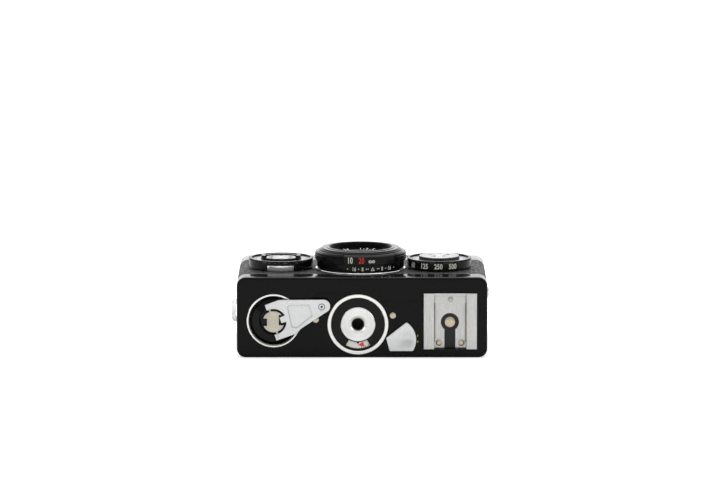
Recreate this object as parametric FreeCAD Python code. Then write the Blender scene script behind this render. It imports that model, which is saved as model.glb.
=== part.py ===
import FreeCAD, Part
import math
import os

# Compact 35 mm camera with a collapsible lens, modelled upright in millimetres.
# +Z is up (bottom plate at z = 0), the lens looks along -Y, +X is the viewer's right in a
# front view. The origin is the tripod socket's axis on the bottom plane.

Vector = FreeCAD.Vector

# ---------------------------------------------------------------- driving dimensions
LEFT, RIGHT = -46.9, 50.1     # body sides
FRONT, BACK = -18.4, 13.0     # body front and back
TOP = 60.0                    # top of the top cover
CORNER = 3.5                  # radius of the body's upright edges
BAND_TOP = 9.0                # top of the lacquered bottom band
COVER_Z = 46.5                # underside of the top cover
SPLIT_Y = -15.5               # where the sliding back's side walls start
WALL = 1.1                    # wall of the covers and the sliding back
SKIN = 0.5                    # leatherette thickness
PLATE = 1.4                   # bottom plate thickness

# Axes along Y, as (x, z)
LENS = LENS_X, LENS_Z = 1.0, 24.5
DIAL_Z = 26.5
APERTURE_X = -30.1
APERTURE = (APERTURE_X, DIAL_Z)
SHUTTER = (31.8, DIAL_Z)
MOUNT_HOLE_R = 17.7           # hole for the lens mount in the outer surfaces

# Axes along Z, as (x, y)
ORIGIN = (0.0, 0.0)
CRANK = CRANK_X, CRANK_Y = -32.6, -1.45
SPOOL = SPOOL_X, SPOOL_Y = 38.0, -1.0          # take-up spool and film advance
SPROCKET = SPROCKET_X, SPROCKET_Y = 26.231, 3.5
LOCK = (14.3, 5.8)
RELEASE = (-36.0, -5.5)
LENS_RELEASE = (4.0, -13.2)
SELECTOR = SELECTOR_X, SELECTOR_Y = 16.5, -10.5  # rewind lever
METER = METER_X, METER_Y = -24.0, 1.0
PLATE_RIVETS = [(13.5, -3.5), (-16.3, -1.9)]

SYNC = (-4.9, 53.2)           # sync socket's axis along X, as (y, z)

SHOE_X = 35.7                 # accessory shoe centre
SHOE_FRONT, SHOE_BACK = -12.3, 9.5

# Windows in the front and rear walls, as (x0, x1, z0, z1)
FINDER_WINDOW = (16.0, 31.0, 49.2, 57.6)
METER_WINDOW = (-8.5, 1.5, 49.8, 57.0)
EYEPIECE = (19.3, 27.7, 50.2, 56.8)
# Window in the roof, as (x0, x1, y0, y1)
NEEDLE_WINDOW = (-15.0, -4.5, -4.0, 3.5)
GLASS_GAP = 0.02              # clearance round a glass

PIECES = []


# ---------------------------------------------------------------- helpers
def piece(make):
    """Register a function whose name is the piece's name; it returns one shape or a list."""
    PIECES.append(make)
    return make


def carve(shape, *tools):
    for tool in tools:
        shape = shape.cut(tool)
    return shape


def join(shape, *others):
    for other in others:
        shape = shape.fuse(other)
    return shape


def box(x0, x1, y0, y1, z0, z1):
    return Part.makeBox(x1 - x0, y1 - y0, z1 - z0, Vector(x0, y0, z0))


def pane(window, inset, y0, y1):
    """Box through a wall window, shrunk by inset on all four sides."""
    x0, x1, z0, z1 = window
    return box(x0 + inset, x1 - inset, y0, y1, z0 + inset, z1 - inset)


def rod_z(centre, radius, z0, z1):
    return Part.makeCylinder(radius, z1 - z0, Vector(*centre, z0), Vector(0, 0, 1))


def rod_y(centre, radius, y0, y1):
    x, z = centre
    return Part.makeCylinder(radius, y1 - y0, Vector(x, y0, z), Vector(0, 1, 0))


def rod_x(centre, radius, x0, x1):
    return Part.makeCylinder(radius, x1 - x0, Vector(x0, *centre), Vector(1, 0, 0))


def tube_z(centre, outer, inner, z0, z1):
    return rod_z(centre, outer, z0, z1).cut(rod_z(centre, inner, z0 - 1, z1 + 1))


def tube_y(centre, outer, inner, y0, y1):
    return rod_y(centre, outer, y0, y1).cut(rod_y(centre, inner, y0 - 1, y1 + 1))


def face(points):
    return Part.Face(Part.makePolygon(points + points[:1]))


def prism_z(points, z0, z1):
    return face([Vector(x, y, z0) for x, y in points]).extrude(Vector(0, 0, z1 - z0))


def prism_y(points, y0, y1):
    return face([Vector(x, y0, z) for x, z in points]).extrude(Vector(0, y1 - y0, 0))


def revolve(points, base, axis):
    solid = face(points).revolve(base, axis, 360)
    return solid if solid.isValid() and solid.Volume > 0 else solid.reversed()


def turn_y(centre, profile):
    """Turned part about an axis along Y; the profile lists (radius, y)."""
    x, z = centre
    points = [Vector(x + radius, y, z) for radius, y in profile]
    return revolve(points, Vector(x, 0, z), Vector(0, 1, 0))


def turn_z(centre, profile):
    """Turned part about an axis along Z; the profile lists (radius, z)."""
    x, y = centre
    points = [Vector(x + radius, y, z) for radius, z in profile]
    return revolve(points, Vector(x, y, 0), Vector(0, 0, 1))


def polar(centre, radius, degrees):
    angle = math.radians(degrees)
    return (centre[0] + radius * math.cos(angle), centre[1] + radius * math.sin(angle))


def arc(centre, radius, start, end, steps):
    return [polar(centre, radius, start + (end - start) * k / steps) for k in range(steps + 1)]


def sector(centre, inner, outer, start, end, steps=24):
    """Outline of an annular sector, angles in degrees from +X."""
    return arc(centre, outer, start, end, steps) + arc(centre, inner, end, start, steps)


def toothed_disc(centre, teeth, tip_r, root_r, y0, y1):
    """Disc along Y with a finely serrated rim."""
    half = 180 / teeth * 0.95
    tooth = ((-half, root_r), (-half * 0.35, tip_r), (half * 0.35, tip_r), (half, root_r))
    points = []
    for k in range(teeth):
        points += [polar(centre, radius, 360 * k / teeth + turn) for turn, radius in tooth]
    return prism_y(points, y0, y1)


def soften(shape, size, pick, method="makeFillet"):
    """Round or chamfer the picked edges."""
    edges = [edge for edge in shape.Edges if pick(edge)]
    if not edges:
        return shape
    # The kernel can refuse an edge set or return a bad solid; the edges then stay sharp.
    try:
        result = getattr(shape, method)(size, edges)
        if result.isValid() and result.Volume > 0:
            return result
    except Exception:
        pass
    return shape


def at_z(edge, z):
    bounds = edge.BoundBox
    flat = abs(bounds.ZMin - z) < 1e-3 and abs(bounds.ZMax - z) < 1e-3
    return flat and all(abs(vertex.Z - z) < 1e-4 for vertex in edge.Vertexes)


def at_y(edge, y):
    return abs(edge.BoundBox.YMin - y) < 1e-3 and abs(edge.BoundBox.YMax - y) < 1e-3


def block(x0, x1, y0, y1, radius, z0, z1):
    """Box with rounded upright edges."""
    def upright(edge):
        start, end = edge.Vertexes
        return abs(start.X - end.X) < 1e-6 and abs(start.Y - end.Y) < 1e-6

    blank = box(x0, x1, y0, y1, z0, z1)
    return blank.makeFillet(radius, [edge for edge in blank.Edges if upright(edge)])


def body_block(inset, y0, y1, z0, z1):
    """Block as wide as the body, less an inset at each side."""
    return block(LEFT + inset, RIGHT - inset, y0, y1, CORNER - inset, z0, z1)


# ---------------------------------------------------------------- body shells
@piece
def bottom_cover():
    # Front skirt in one with the bottom plate
    skirt = body_block(0, FRONT, FRONT + 8, 0, BAND_TOP).common(
        box(LEFT - 1, RIGHT + 1, FRONT - 1, SPLIT_Y, -1, BAND_TOP + 1))
    skirt = soften(skirt, 0.9, lambda edge: at_z(edge, 0) and not at_y(edge, SPLIT_Y))
    skirt = skirt.cut(body_block(WALL, FRONT + WALL, FRONT + 9, PLATE, BAND_TOP + 1))
    edge_gap = WALL + 0.08
    plate = block(LEFT + edge_gap, RIGHT - edge_gap, SPLIT_Y - 4, BACK - edge_gap,
                  CORNER - WALL, 0, PLATE).common(box(LEFT, RIGHT, SPLIT_Y, BACK, -1, 3))
    crank_tip_relief = [(-19.0, -8.8), (-15.2, -12.6), (-3.0, -12.6), (-3.0, -7.0),
                        (-12.0, -3.6), (-17.0, -5.6)]
    return carve(
        skirt.fuse(plate).removeSplitter(),
        prism_z(crank_tip_relief, -1, 0.7),
        box(8.0, 24.95, -9.3, 10.7, -1, 0.3),     # low panel that carries the back lock
        rod_z(CRANK, 10.45, -2, 3),
        rod_z(ORIGIN, 11.86, -2, 3),
        rod_y(LENS, MOUNT_HOLE_R, -20, -15),
        box(SHOE_X - 10.45, SHOE_X + 10.45, SHOE_FRONT - 0.1, SHOE_BACK + 0.1, -2, 3),
        rod_z(LOCK, 1.65, -2, 3),
        *[rod_z(rivet, 0.9, -2, 3) for rivet in PLATE_RIVETS])


def front_sheet():
    """Front wall above the band with its skin, and the skin alone."""
    sheet = body_block(0, FRONT, FRONT + 8, BAND_TOP, COVER_Z).common(
        box(LEFT - 1, RIGHT + 1, FRONT - 1, SPLIT_Y, 0, 60))
    skin = sheet.cut(body_block(SKIN, FRONT + SKIN, FRONT + 9, BAND_TOP - 1, COVER_Z + 1))
    return sheet, skin


@piece
def front_panel():
    sheet, skin = front_sheet()
    return carve(sheet, skin,
                 body_block(1.5, FRONT + 1.3, FRONT + 9, BAND_TOP - 1, COVER_Z + 1),
                 rod_y(LENS, 16.45, -20, -15),
                 *[rod_y(dial, 2.6, -20, -15) for dial in (APERTURE, SHUTTER)])


@piece
def leatherette_front():
    skin = front_sheet()[1]
    return carve(skin, rod_y(LENS, MOUNT_HOLE_R, -20, -15),
                 *[rod_y(dial, 9.0, -20, -17) for dial in (APERTURE, SHUTTER)])


def back_sheet():
    """Solid blank of the sliding back, and its skin."""
    blank = body_block(0, FRONT, BACK, 0, COVER_Z - 0.05).common(
        box(LEFT - 1, RIGHT + 1, SPLIT_Y + 0.05, BACK + 1, -1, 60))
    skin = blank.cut(body_block(SKIN, FRONT, BACK - SKIN, -1, COVER_Z + 1)).common(
        box(LEFT - 1, RIGHT + 1, -30, BACK + 1, BAND_TOP, COVER_Z + 1))
    return blank, skin


@piece
def back_cover():
    # Rear wall and both side walls in one pressing, relieved for its leatherette
    def outer_bottom(edge):
        bounds = edge.BoundBox
        outside = (bounds.YMax > BACK - 0.01 or bounds.XMin < LEFT + 0.01
                   or bounds.XMax > RIGHT - 0.01)
        return at_z(edge, 0) and edge.Length > 10 and outside

    blank, skin = back_sheet()
    shell = carve(blank, body_block(WALL, FRONT, BACK - WALL, -1, COVER_Z + 1), skin)
    return soften(shell, 0.9, outer_bottom)


@piece
def leatherette_back():
    return back_sheet()[1]


SCREWS = [(x, y) for y in (6.5, -13.0) for x in (LEFT, RIGHT)]
SCREW_Z = 49.0


def screw_rod(x, y, radius, depth):
    """Rod from the side wall's outer face inwards."""
    inward = 1 if x < 0 else -1
    return Part.makeCylinder(radius, depth, Vector(x, y, SCREW_Z), Vector(inward, 0, 0))


@piece
def top_cover():
    shell = body_block(0, FRONT, BACK, COVER_Z, TOP)
    shell = soften(shell, 1.3, lambda edge: at_z(edge, TOP))
    shell = carve(
        shell,
        body_block(WALL, FRONT + WALL, BACK - WALL, COVER_Z - 1, TOP - WALL),
        pane(FINDER_WINDOW, 0, FRONT - 1, FRONT + 3),
        pane(METER_WINDOW, 0, FRONT - 1, FRONT + 3),
        pane(EYEPIECE, -0.93, BACK - 3, BACK + 1),
        box(*NEEDLE_WINDOW, TOP - 3, TOP + 1))
    for centre, radius in ((RELEASE, 3.85), (LENS_RELEASE, 2.35), (SELECTOR, 1.3), (SPOOL, 2.05)):
        shell = shell.cut(rod_z(centre, radius, TOP - 3, TOP + 1))
    shell = shell.cut(rod_x(SYNC, 2.0, RIGHT - 3, RIGHT + 1))
    for x, y in SCREWS:
        shell = carve(shell, screw_rod(x, y, 1.25, 0.5), screw_rod(x, y, 0.7, 3))
    # Collar round the shutter release
    return shell.fuse(tube_z(RELEASE, 5.2, 3.85, TOP, TOP + 0.7))


@piece
def top_cover_screws():
    screws = []
    for x, y in SCREWS:
        screw = screw_rod(x, y, 1.22, 0.45).fuse(screw_rod(x, y, 0.68, 2.4))
        slot = box(x - 0.22, x + 0.22, y - 2, y + 2, SCREW_Z - 0.16, SCREW_Z + 0.16)
        screws.append(screw.cut(slot))
    return screws


# ---------------------------------------------------------------- body casting and film path
@piece
def body_frame():
    side = WALL + 0.12
    roof = COVER_Z - 2         # ceiling of the chambers
    chamber_y = -1.0           # centre of the cassette chamber's round front
    frame = block(LEFT + side, RIGHT - side, SPLIT_Y + 0.1, 9.9, 2.0, 1.6, COVER_Z - 0.1)
    frame = carve(
        frame,
        box(-19.2, 60, 7.6, 12, 0, 60),
        rod_z((CRANK_X + 0.5, chamber_y), 12.7, 3.4, roof),
        box(CRANK_X - 12.2, CRANK_X + 13.2, chamber_y, 12, 3.4, roof))
    for (x, y), radius in ((SPOOL, 9.6), (SPROCKET, 5.5)):
        frame = carve(frame, rod_z((x, y), radius, 4.2, roof),
                      box(x - radius, x + radius, y, 12, 4.2, roof))
    frame = carve(
        frame,
        rod_y(LENS, 16.35, -16, 5.5),
        box(LENS_X - 18, LENS_X + 18, 3.0, 8.0, LENS_Z - 12, LENS_Z + 12),
        box(LENS_X - 18.4, LENS_X + 18.4, -6.0, 5.5, LENS_Z - 12.4, LENS_Z + 12.4),
        # lightening pockets above and beside the lens, open to the front
        box(LENS_X - 15, LENS_X + 15, -16, -4, LENS_Z + 18.0, roof),
        box(LENS_X - 19.0, LENS_X - 17.6, -16, -7.5, 5, 44),
        box(LENS_X + 17.6, LENS_X + 24.0, -16, -4, 5, 44),
        box(CRANK_X - 12, CRANK_X + 12, -16, -14.6, 5, 44),
        box(SPOOL_X - 9, SPOOL_X + 8, -16, -11.6, 5, 44),
        # room for the bottom group: crank well, counter, shoe, lock shaft, rivets
        rod_z(CRANK, 10.5, 0, 4.0),
        rod_z(ORIGIN, 11.9, 0, 3.2),
        rod_z(ORIGIN, 5.55, 0, 7.2),
        box(SHOE_X - 10.6, SHOE_X + 10.6, SHOE_FRONT - 0.3, 10.5, 0, 4.6),
        rod_z(LOCK, 4.3, 0, 3.4),
        *[rod_z(rivet, 1.8, 0, 2.6) for rivet in PLATE_RIVETS])
    # Shaft holes in the roof and floor
    for centre, radius in ((SPOOL, 2.05), (SPROCKET, 1.55), (RELEASE, 1.6), (LENS_RELEASE, 1.3)):
        frame = frame.cut(rod_z(centre, radius, COVER_Z - 3, COVER_Z + 1))
    frame = carve(frame, rod_z(SPROCKET, 1.55, 3.0, 5), rod_z(CRANK, 2.6, 0, 5),
                  rod_z((-22.0, -12.4), 1.05, 0, 50))
    # The cuts can leave loose slivers; only the casting is kept.
    return max(frame.removeSplitter().Solids, key=lambda solid: solid.Volume)


@piece
def pressure_plate():
    # Drawn lying flat, then stood up; a bowed leaf spring runs behind it
    plate = block(LENS_X - 20.2, LENS_X + 20, 0, 33, 1.0, 0, 1.0)
    plate = carve(plate, box(LENS_X - 14, LENS_X + 14, 9, 10.2, -1, 2),
                  box(LENS_X - 14, LENS_X + 14, 22.8, 24, -1, 2))
    plate.rotate(Vector(0, 0, 0), Vector(1, 0, 0), 90)
    plate.translate(Vector(0, 9.6, LENS_Z - 16.5))
    # x from the lens axis, y
    leaf = [(-16, 9.55), (-14, 9.55), (-4, 11.15), (4, 11.15), (14, 9.55), (16, 9.55),
            (16, 9.8), (14.1, 9.8), (4.05, 11.4), (-4.05, 11.4), (-14.1, 9.8), (-16, 9.8)]
    points = [(LENS_X + x, y) for x, y in leaf]
    return plate.fuse(prism_z(points, LENS_Z - 3, LENS_Z + 3)).removeSplitter()


@piece
def take_up_spool():
    # Flanged and grooved, with a slot for the film tongue
    spool = join(rod_z(SPOOL, 5.0, 5.2, 43.6), rod_z(SPOOL, 7.0, 5.2, 6.2),
                 rod_z(SPOOL, 7.0, 42.6, 43.6))
    return carve(spool, rod_z(SPOOL, 2.05, 4, 50),
                 box(SPOOL_X - 0.6, SPOOL_X + 0.6, SPOOL_Y, SPOOL_Y + 9, 12, 37),
                 *[rod_z(polar(SPOOL, 5.0, 15 + 30 * k), 0.45, 7.5, 41.5) for k in range(12)])


GEAR_MODULE = 0.6
ADVANCE_TEETH, SPROCKET_TEETH = 24, 18
BACKLASH = 0.24
GEAR_Z0, GEAR_Z1 = 46.9, 48.3
MESH_ANGLE = math.atan2(SPROCKET_Y - SPOOL_Y, SPROCKET_X - SPOOL_X)


def gear(teeth, centre, phase):
    """Spur gear with straight flanks, short teeth and ample backlash; phase in radians."""
    pitch_r = teeth * GEAR_MODULE / 2
    tip_r = pitch_r + 0.8 * GEAR_MODULE
    root_r = pitch_r - 1.15 * GEAR_MODULE
    half = (math.pi * GEAR_MODULE / 2 - BACKLASH) / 2 / pitch_r
    flank = math.tan(math.radians(22)) * GEAR_MODULE / pitch_r
    tooth = ((-half - 1.15 * flank, root_r), (-half + 0.8 * flank, tip_r),
             (half - 0.8 * flank, tip_r), (half + 1.15 * flank, root_r))
    points = []
    for k in range(teeth):
        angle = phase + 2 * math.pi * k / teeth
        points += [polar(centre, radius, math.degrees(angle + turn)) for turn, radius in tooth]
    return prism_z(points, GEAR_Z0, GEAR_Z1)


@piece
def sprocket():
    # Shaft with two rings of eight teeth, and its gear under the top cover
    rings = rod_z(SPROCKET, 3.9, 7.4, 9.4).fuse(rod_z(SPROCKET, 3.9, 39.2, 41.2))
    shaft = join(rod_z(SPROCKET, 1.5, 3.1, 48.6), rod_z(SPROCKET, 2.9, 5.0, 43.8), rings)
    for k in range(8):
        for z in (7.9, 39.7):
            tooth = box(3.5, 4.75, -0.55, 0.55, 0, 1.0)
            tooth.rotate(Vector(0, 0, 0), Vector(0, 0, 1), 22.5 + 45 * k)
            tooth.translate(Vector(*SPROCKET, z))
            shaft = shaft.fuse(tooth)
    # Half a tooth of turn lets it mesh with the advance gear
    wheel = gear(SPROCKET_TEETH, SPROCKET, MESH_ANGLE + math.pi + math.pi / SPROCKET_TEETH)
    return shaft.fuse(wheel.cut(rod_z(SPROCKET, 1.45, 40, 50)))


@piece
def advance_gear():
    return join(rod_z(SPOOL, 2.0, 4.7, TOP + 0.2), gear(ADVANCE_TEETH, SPOOL, MESH_ANGLE),
                rod_z(SPOOL, 3.4, GEAR_Z1, 49.6))


@piece
def advance_lever():
    # Hub and a tapered arm that lies along the rear edge
    base = TOP + 0.25
    hub = rod_z(SPOOL, 7.6, base, TOP + 2.1)
    hub = soften(hub, 0.5, lambda edge: at_z(edge, TOP + 2.1))
    bend = (28, 3.6)
    tip = (18.6, 8.4)
    angle = math.atan2(tip[1] - SPOOL_Y, tip[0] - SPOOL_X)
    across_x, across_y = -math.sin(angle), math.cos(angle)
    # Point on the arm's line, distance across it
    stations = ((SPOOL, 7.0), (SPOOL, -7.0), (bend, -3.4), (tip, -2.3), (tip, 2.3), (bend, 3.6))
    arm = prism_z([(x + across_x * offset, y + across_y * offset)
                   for (x, y), offset in stations], base, TOP + 1.5)
    lever = join(hub, arm, rod_z(tip, 2.3, base, TOP + 1.5),
                 rod_z((tip[0] - 0.4, tip[1] + 0.6), 1.9, TOP + 0.9, TOP + 2.9))
    lever = lever.removeSplitter()
    lever = lever.cut(rod_z(SPOOL, 4.6, TOP + 1.8, TOP + 3))
    lever = soften(lever, 0.25, lambda edge: at_z(edge, TOP + 2.9))
    slot = box(SPOOL_X - 3, SPOOL_X + 3, SPOOL_Y - 0.3, SPOOL_Y + 0.3, TOP + 1.85, TOP + 3)
    return lever.fuse(rod_z(SPOOL, 2.6, TOP + 1.7, TOP + 2.0).cut(slot))


# ---------------------------------------------------------------- rewind crank
# The spindle, arm and knob are drawn in the crank's own frame, handle along +X.
CRANK_ANGLE = -17.4                 # direction of the folded crank, degrees
CRANK_OUTER, CRANK_INNER = -2.3, -1.2  # z of the arm's outer (lower) and inner faces
HINGE_Z = -1.75
TIP_X, TIP_R = 20.0, 2.6
KNOB_X = TIP_X - 0.5


def place_crank(shape):
    shape.rotate(Vector(0, 0, 0), Vector(0, 0, 1), CRANK_ANGLE)
    shape.translate(Vector(*CRANK, 0))
    return shape


def hinge_rod(side, start, radius, length):
    """Rod on the hinge line, going outwards from start on one side (1 or -1)."""
    return Part.makeCylinder(radius, length, Vector(0, side * start, HINGE_Z), Vector(0, side, 0))


@piece
def crank_ring():
    return turn_z(CRANK, [(10.4, -0.05), (10.4, 1.2), (9.95, 1.2), (9.3, 0.5), (9.3, 0.35),
                          (9.8, -0.22), (10.2, -0.22)])


@piece
def crank_well():
    return turn_z(CRANK, [(2.6, 2.5), (2.6, 3.3), (10.2, 3.3), (10.2, 1.25), (9.85, 1.25),
                          (9.2, 2.1), (8.9, 2.5)])


@piece
def crank_turntable():
    disc = turn_z(CRANK, [(0.0, 2.4), (0.0, 0.2), (4.9, 0.2), (5.6, 0.9), (8.4, 1.3),
                          (8.7, 1.6), (8.7, 2.4)])
    return disc.cut(rod_z(CRANK, 2.2, -1, 3))


@piece
def rewind_spindle():
    head_z = CRANK_OUTER + 0.1
    head = rod_z(ORIGIN, 4.2, head_z, 0.2)
    head = soften(head, 0.25, lambda edge: at_z(edge, head_z))
    # The two slots stay square to the body, so they are turned back out of the crank's frame
    slots = box(2.05, 6, -2.6, 1.35, -5, 1).fuse(box(-6, -2.5, -1.3, 1.65, -5, 1))
    slots.rotate(Vector(0, 0, 0), Vector(0, 0, 1), -CRANK_ANGLE)
    head = join(head.cut(slots), *[hinge_rod(side, 4.0, 0.45, 2.6) for side in (1, -1)])
    fork_gap = box(-0.55, 0.55, -3, 3, 6.8, 12)
    return place_crank(head.fuse(rod_z(ORIGIN, 2.15, 0.1, 9.5)).cut(fork_gap))


@piece
def rewind_crank():
    # Claw round the spindle head, tapering to a round tip
    def claw_rim(edge):
        bounds = edge.BoundBox
        return (at_z(edge, CRANK_OUTER) and edge.Length > 4.5 and bounds.XMin > -1.2
                and bounds.YMax > 5)

    def panel_rim(edge):
        bounds = edge.BoundBox
        return (at_z(edge, CRANK_OUTER) and bounds.XMin > 5.9 and bounds.XMax < 15.3
                and bounds.YMin > -4.7 and bounds.YMax < 5.2)

    outline = [(-1.2, -7.2), (4.4, -7.5)] + arc((TIP_X + 0.2, 0), TIP_R, -73, 64, 12)
    outline += [(9.0, 5.9), (7.3, 7.1), (-1.1, 7.4)]
    arm = carve(prism_z(outline, CRANK_OUTER, CRANK_INNER), rod_z(ORIGIN, 5.0, -5, 0),
                box(-6, 0.0, -4.95, 4.95, -5, 0))
    tongue = [(2.7, -0.85), (2.8, 1.4), (5.6, 1.5), (5.6, -1.2)]
    arm = arm.fuse(prism_z(tongue, CRANK_OUTER, CRANK_INNER)).removeSplitter()
    arm = soften(arm, 0.2, claw_rim)
    # Sunk panel on the outer face
    panel = prism_z([(6.9, -4.5), (15.1, -2.2), (15.1, 2.2), (7.9, 5.0), (6.1, 4.2)],
                    CRANK_OUTER - 1, CRANK_OUTER + 0.42)
    panel = soften(panel, 0.7, lambda edge: edge.BoundBox.ZLength > 1.0)
    arm = soften(arm.cut(panel), 0.28, panel_rim)
    return place_crank(carve(arm, rod_z((KNOB_X, 0), 1.06, -5, 0),
                             *[hinge_rod(side, 4.9, 0.53, 1.8) for side in (1, -1)]))


@piece
def crank_knob():
    shoulder = CRANK_INNER + 0.02
    rivet_end = CRANK_OUTER - 0.12
    return place_crank(turn_z((KNOB_X, 0), [
        (0.45, rivet_end), (0.45, -0.45), (2.1, -0.45), (2.3, -0.6), (2.3, shoulder),
        (1.05, shoulder), (1.05, CRANK_OUTER), (1.05, rivet_end)]))


# ---------------------------------------------------------------- tripod socket, frame counter
@piece
def counter_ring():
    return turn_z(ORIGIN, [(11.75, 0.05), (11.75, 1.3), (10.4, 1.3), (10.4, 0.12),
                           (10.6, -0.08), (11.55, -0.08)])


@piece
def counter_window_plate():
    plate = tube_z(ORIGIN, 10.35, 6.78, 0.15, 0.75)
    plate = plate.cut(prism_z(sector(ORIGIN, 6.9, 9.4, 60.0, 120.0), -1, 2))
    pointer = prism_z([(-0.55, 6.80), (0.55, 6.80), (0.0, 7.75)], 0.15, 0.75)
    return join(plate, tube_z(ORIGIN, 10.35, 9.75, 0.7, 1.3), pointer)


@piece
def counter_disc():
    # Forty notches round the rim
    return carve(tube_z(ORIGIN, 9.6, 6.9, 0.95, 1.35),
                 *[rod_z(polar(ORIGIN, 9.6, 9 * k + 4.5), 0.28, 0, 2) for k in range(40)])


@piece
def tripod_socket():
    bore = 2.55                # minor radius of the 1/4 inch thread
    return turn_z(ORIGIN, [
        (bore, 0.55), (bore, 6.8), (5.5, 6.8), (5.5, 3.0), (6.72, 3.0), (6.72, 0.15),
        (6.45, -0.1), (5.9, -0.1), (3.3, 0.05)])


@piece
def back_lock_lever():
    rim = arc(LOCK, 8.2, -57.0, 32.0, 14)
    outline = [(10.9, 5.1)] + rim + [(12.3, 10.2)]
    corners = (10.9, 12.3, rim[0][0], rim[-1][0])

    def corner_edge(edge):
        x = edge.Vertexes[0].X
        return edge.BoundBox.ZLength > 1.0 and any(abs(x - corner) < 0.01 for corner in corners)

    lever = soften(prism_z(outline, -1.25, -0.15), 0.6, corner_edge)
    lever = lever.cut(Part.makeSphere(6.0, Vector(19.1, 5.3, -1.25 - 5.52)))
    return join(lever, rod_z(LOCK, 1.6, -0.2, 3.2), rod_z(LOCK, 3.6, 1.6, 2.8))


# ---------------------------------------------------------------- accessory shoe
SHOE_LEFT, SHOE_RIGHT = SHOE_X - 10.35, SHOE_X + 10.35
FLOOR = 2.0                    # outer face of the shoe's floor
LIP_Z = -1.1                   # outer face of the lips
LIP = 4.1                      # lip width from the shoe's side
CONTACT = CONTACT_X, CONTACT_Y = 35.6, -0.7
SHOE_RIVETS = [(31.35, 7.4), (40.05, 7.4)]


@piece
def accessory_shoe():
    left, right, front, back = SHOE_LEFT, SHOE_RIGHT, SHOE_FRONT, SHOE_BACK
    inner = FLOOR + 0.9

    def lip_edge(edge):
        return at_z(edge, LIP_Z) and edge.Length > 20

    def outer_lip(edge):
        bounds = edge.BoundBox
        return lip_edge(edge) and (bounds.XMin < left + 0.01 or bounds.XMax > right - 0.01)

    def inner_lip(edge):
        return lip_edge(edge) and left + 2 < edge.BoundBox.XMin < right - 2

    shoe = join(
        box(left, right, front, back, FLOOR, inner),
        box(left, left + 1.0, front, back, LIP_Z, inner),           # side walls
        box(right - 1.0, right, front, back, LIP_Z, inner),
        box(left, left + LIP, front, back, LIP_Z, -0.2),            # lips
        box(right - LIP, right, front, back, LIP_Z, -0.2),
        box(left + 1, right - 1, front, front + 0.9, -0.75, inner),  # front stop
        box(left + 1, left + LIP, front, -8.9, -0.3, inner),
        box(right - LIP, right - 1, front, -8.9, -0.3, inner)).removeSplitter()
    shoe = soften(shoe, 0.45, outer_lip)
    shoe = soften(shoe, 0.2, inner_lip)
    keyhole = rod_z(CONTACT, 3.5, 1, 4).fuse(
        box(CONTACT_X - 2.1, CONTACT_X + 2.1, CONTACT_Y, 11, 1, 4))
    shoe = carve(shoe, keyhole, *[rod_z(rivet, 0.85, 1, 4) for rivet in SHOE_RIVETS])
    # Round bump on the floor, near the front
    bump = Part.makeSphere(1.5, Vector(35.8, -9.6, FLOOR + 1.1))
    return shoe.fuse(bump.common(box(30, 40, -12, -6, FLOOR - 2, FLOOR + 0.5)))


@piece
def contact_insulator():
    base, top = FLOOR + 0.02, FLOOR + 2.0
    tail = box(CONTACT_X - 2.05, CONTACT_X + 2.05, CONTACT_Y, SHOE_BACK - 0.05, base, top)
    body = rod_z(CONTACT, 3.45, base, top).fuse(tail).removeSplitter()
    return carve(body, rod_z(CONTACT, 2.1, 0, 3.2), rod_z(CONTACT, 0.95, 0, 5))


@piece
def hot_shoe_contact():
    # Radius, z from the shoe floor
    profile = [(0.0, -0.35), (0.0, 2.4), (0.9, 2.4), (0.9, 1.15), (2.05, 1.15), (2.05, -0.1),
               (1.7, -0.3), (1.0, -0.35)]
    return turn_z(CONTACT, [(radius, FLOOR + z) for radius, z in profile])


@piece
def shoe_springs():
    width, start_y = 2.1, -8.2
    # y from the spring's front end, z
    profile = [(0, 1.9), (4, 1.2), (9.5, 0.85), (15, 1.2), (15.2, 1.35), (9.5, 1.05),
               (4, 1.4), (0.2, 1.98)]
    return [face([Vector(x, start_y + y, z) for y, z in profile]).extrude(Vector(width, 0, 0))
            for x in (SHOE_LEFT + 2.4, SHOE_RIGHT - 2.4 - width)]


@piece
def brass_rivets():
    rivets = []
    for centre in SHOE_RIVETS:
        rivets.append(turn_z(centre, [
            (0, FLOOR - 0.45), (0, FLOOR + 1.5), (0.82, FLOOR + 1.5), (0.82, FLOOR),
            (1.2, FLOOR), (1.2, FLOOR - 0.2), (0.85, FLOOR - 0.4)]))
    for centre in PLATE_RIVETS:
        base = 0.3 if centre[0] > 0 else 0.0   # the right one sits on the low panel
        rivets.append(turn_z(centre, [
            (0, base - 0.28), (0, 2.4), (0.87, 2.4), (0.87, base), (1.18, base),
            (1.18, base - 0.12), (0.9, base - 0.26)]))
    return rivets


# ---------------------------------------------------------------- lens group
FOCUS_R, SCALE_R = 18.0, 17.65  # focusing ring over its ribs, and at the smooth scale


@piece
def lens_mount_ring():
    return turn_y(LENS, [
        (15.2, FRONT - 0.3), (15.2, -17.42), (16.4, -17.42), (16.4, FRONT + 0.5),
        (17.6, FRONT + 0.5), (17.6, FRONT - 0.3), (17.45, FRONT - 0.45), (15.35, FRONT - 0.45)])


@piece
def lens_guide():
    keyway = box(LENS_X - 1.6, LENS_X + 1.6, -16.6, 3.9, LENS_Z + 14, LENS_Z + 18)
    return tube_y(LENS, 16.3, 15.2, -17.4, 4.0).cut(keyway)


@piece
def tube_key_ring():
    key = box(LENS_X - 1.5, LENS_X + 1.5, 1.3, 2.9, LENS_Z + 14.9, LENS_Z + 15.9)
    return tube_y(LENS, 15.12, 14.46, 1.2, 3.0).fuse(key).removeSplitter()


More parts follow.
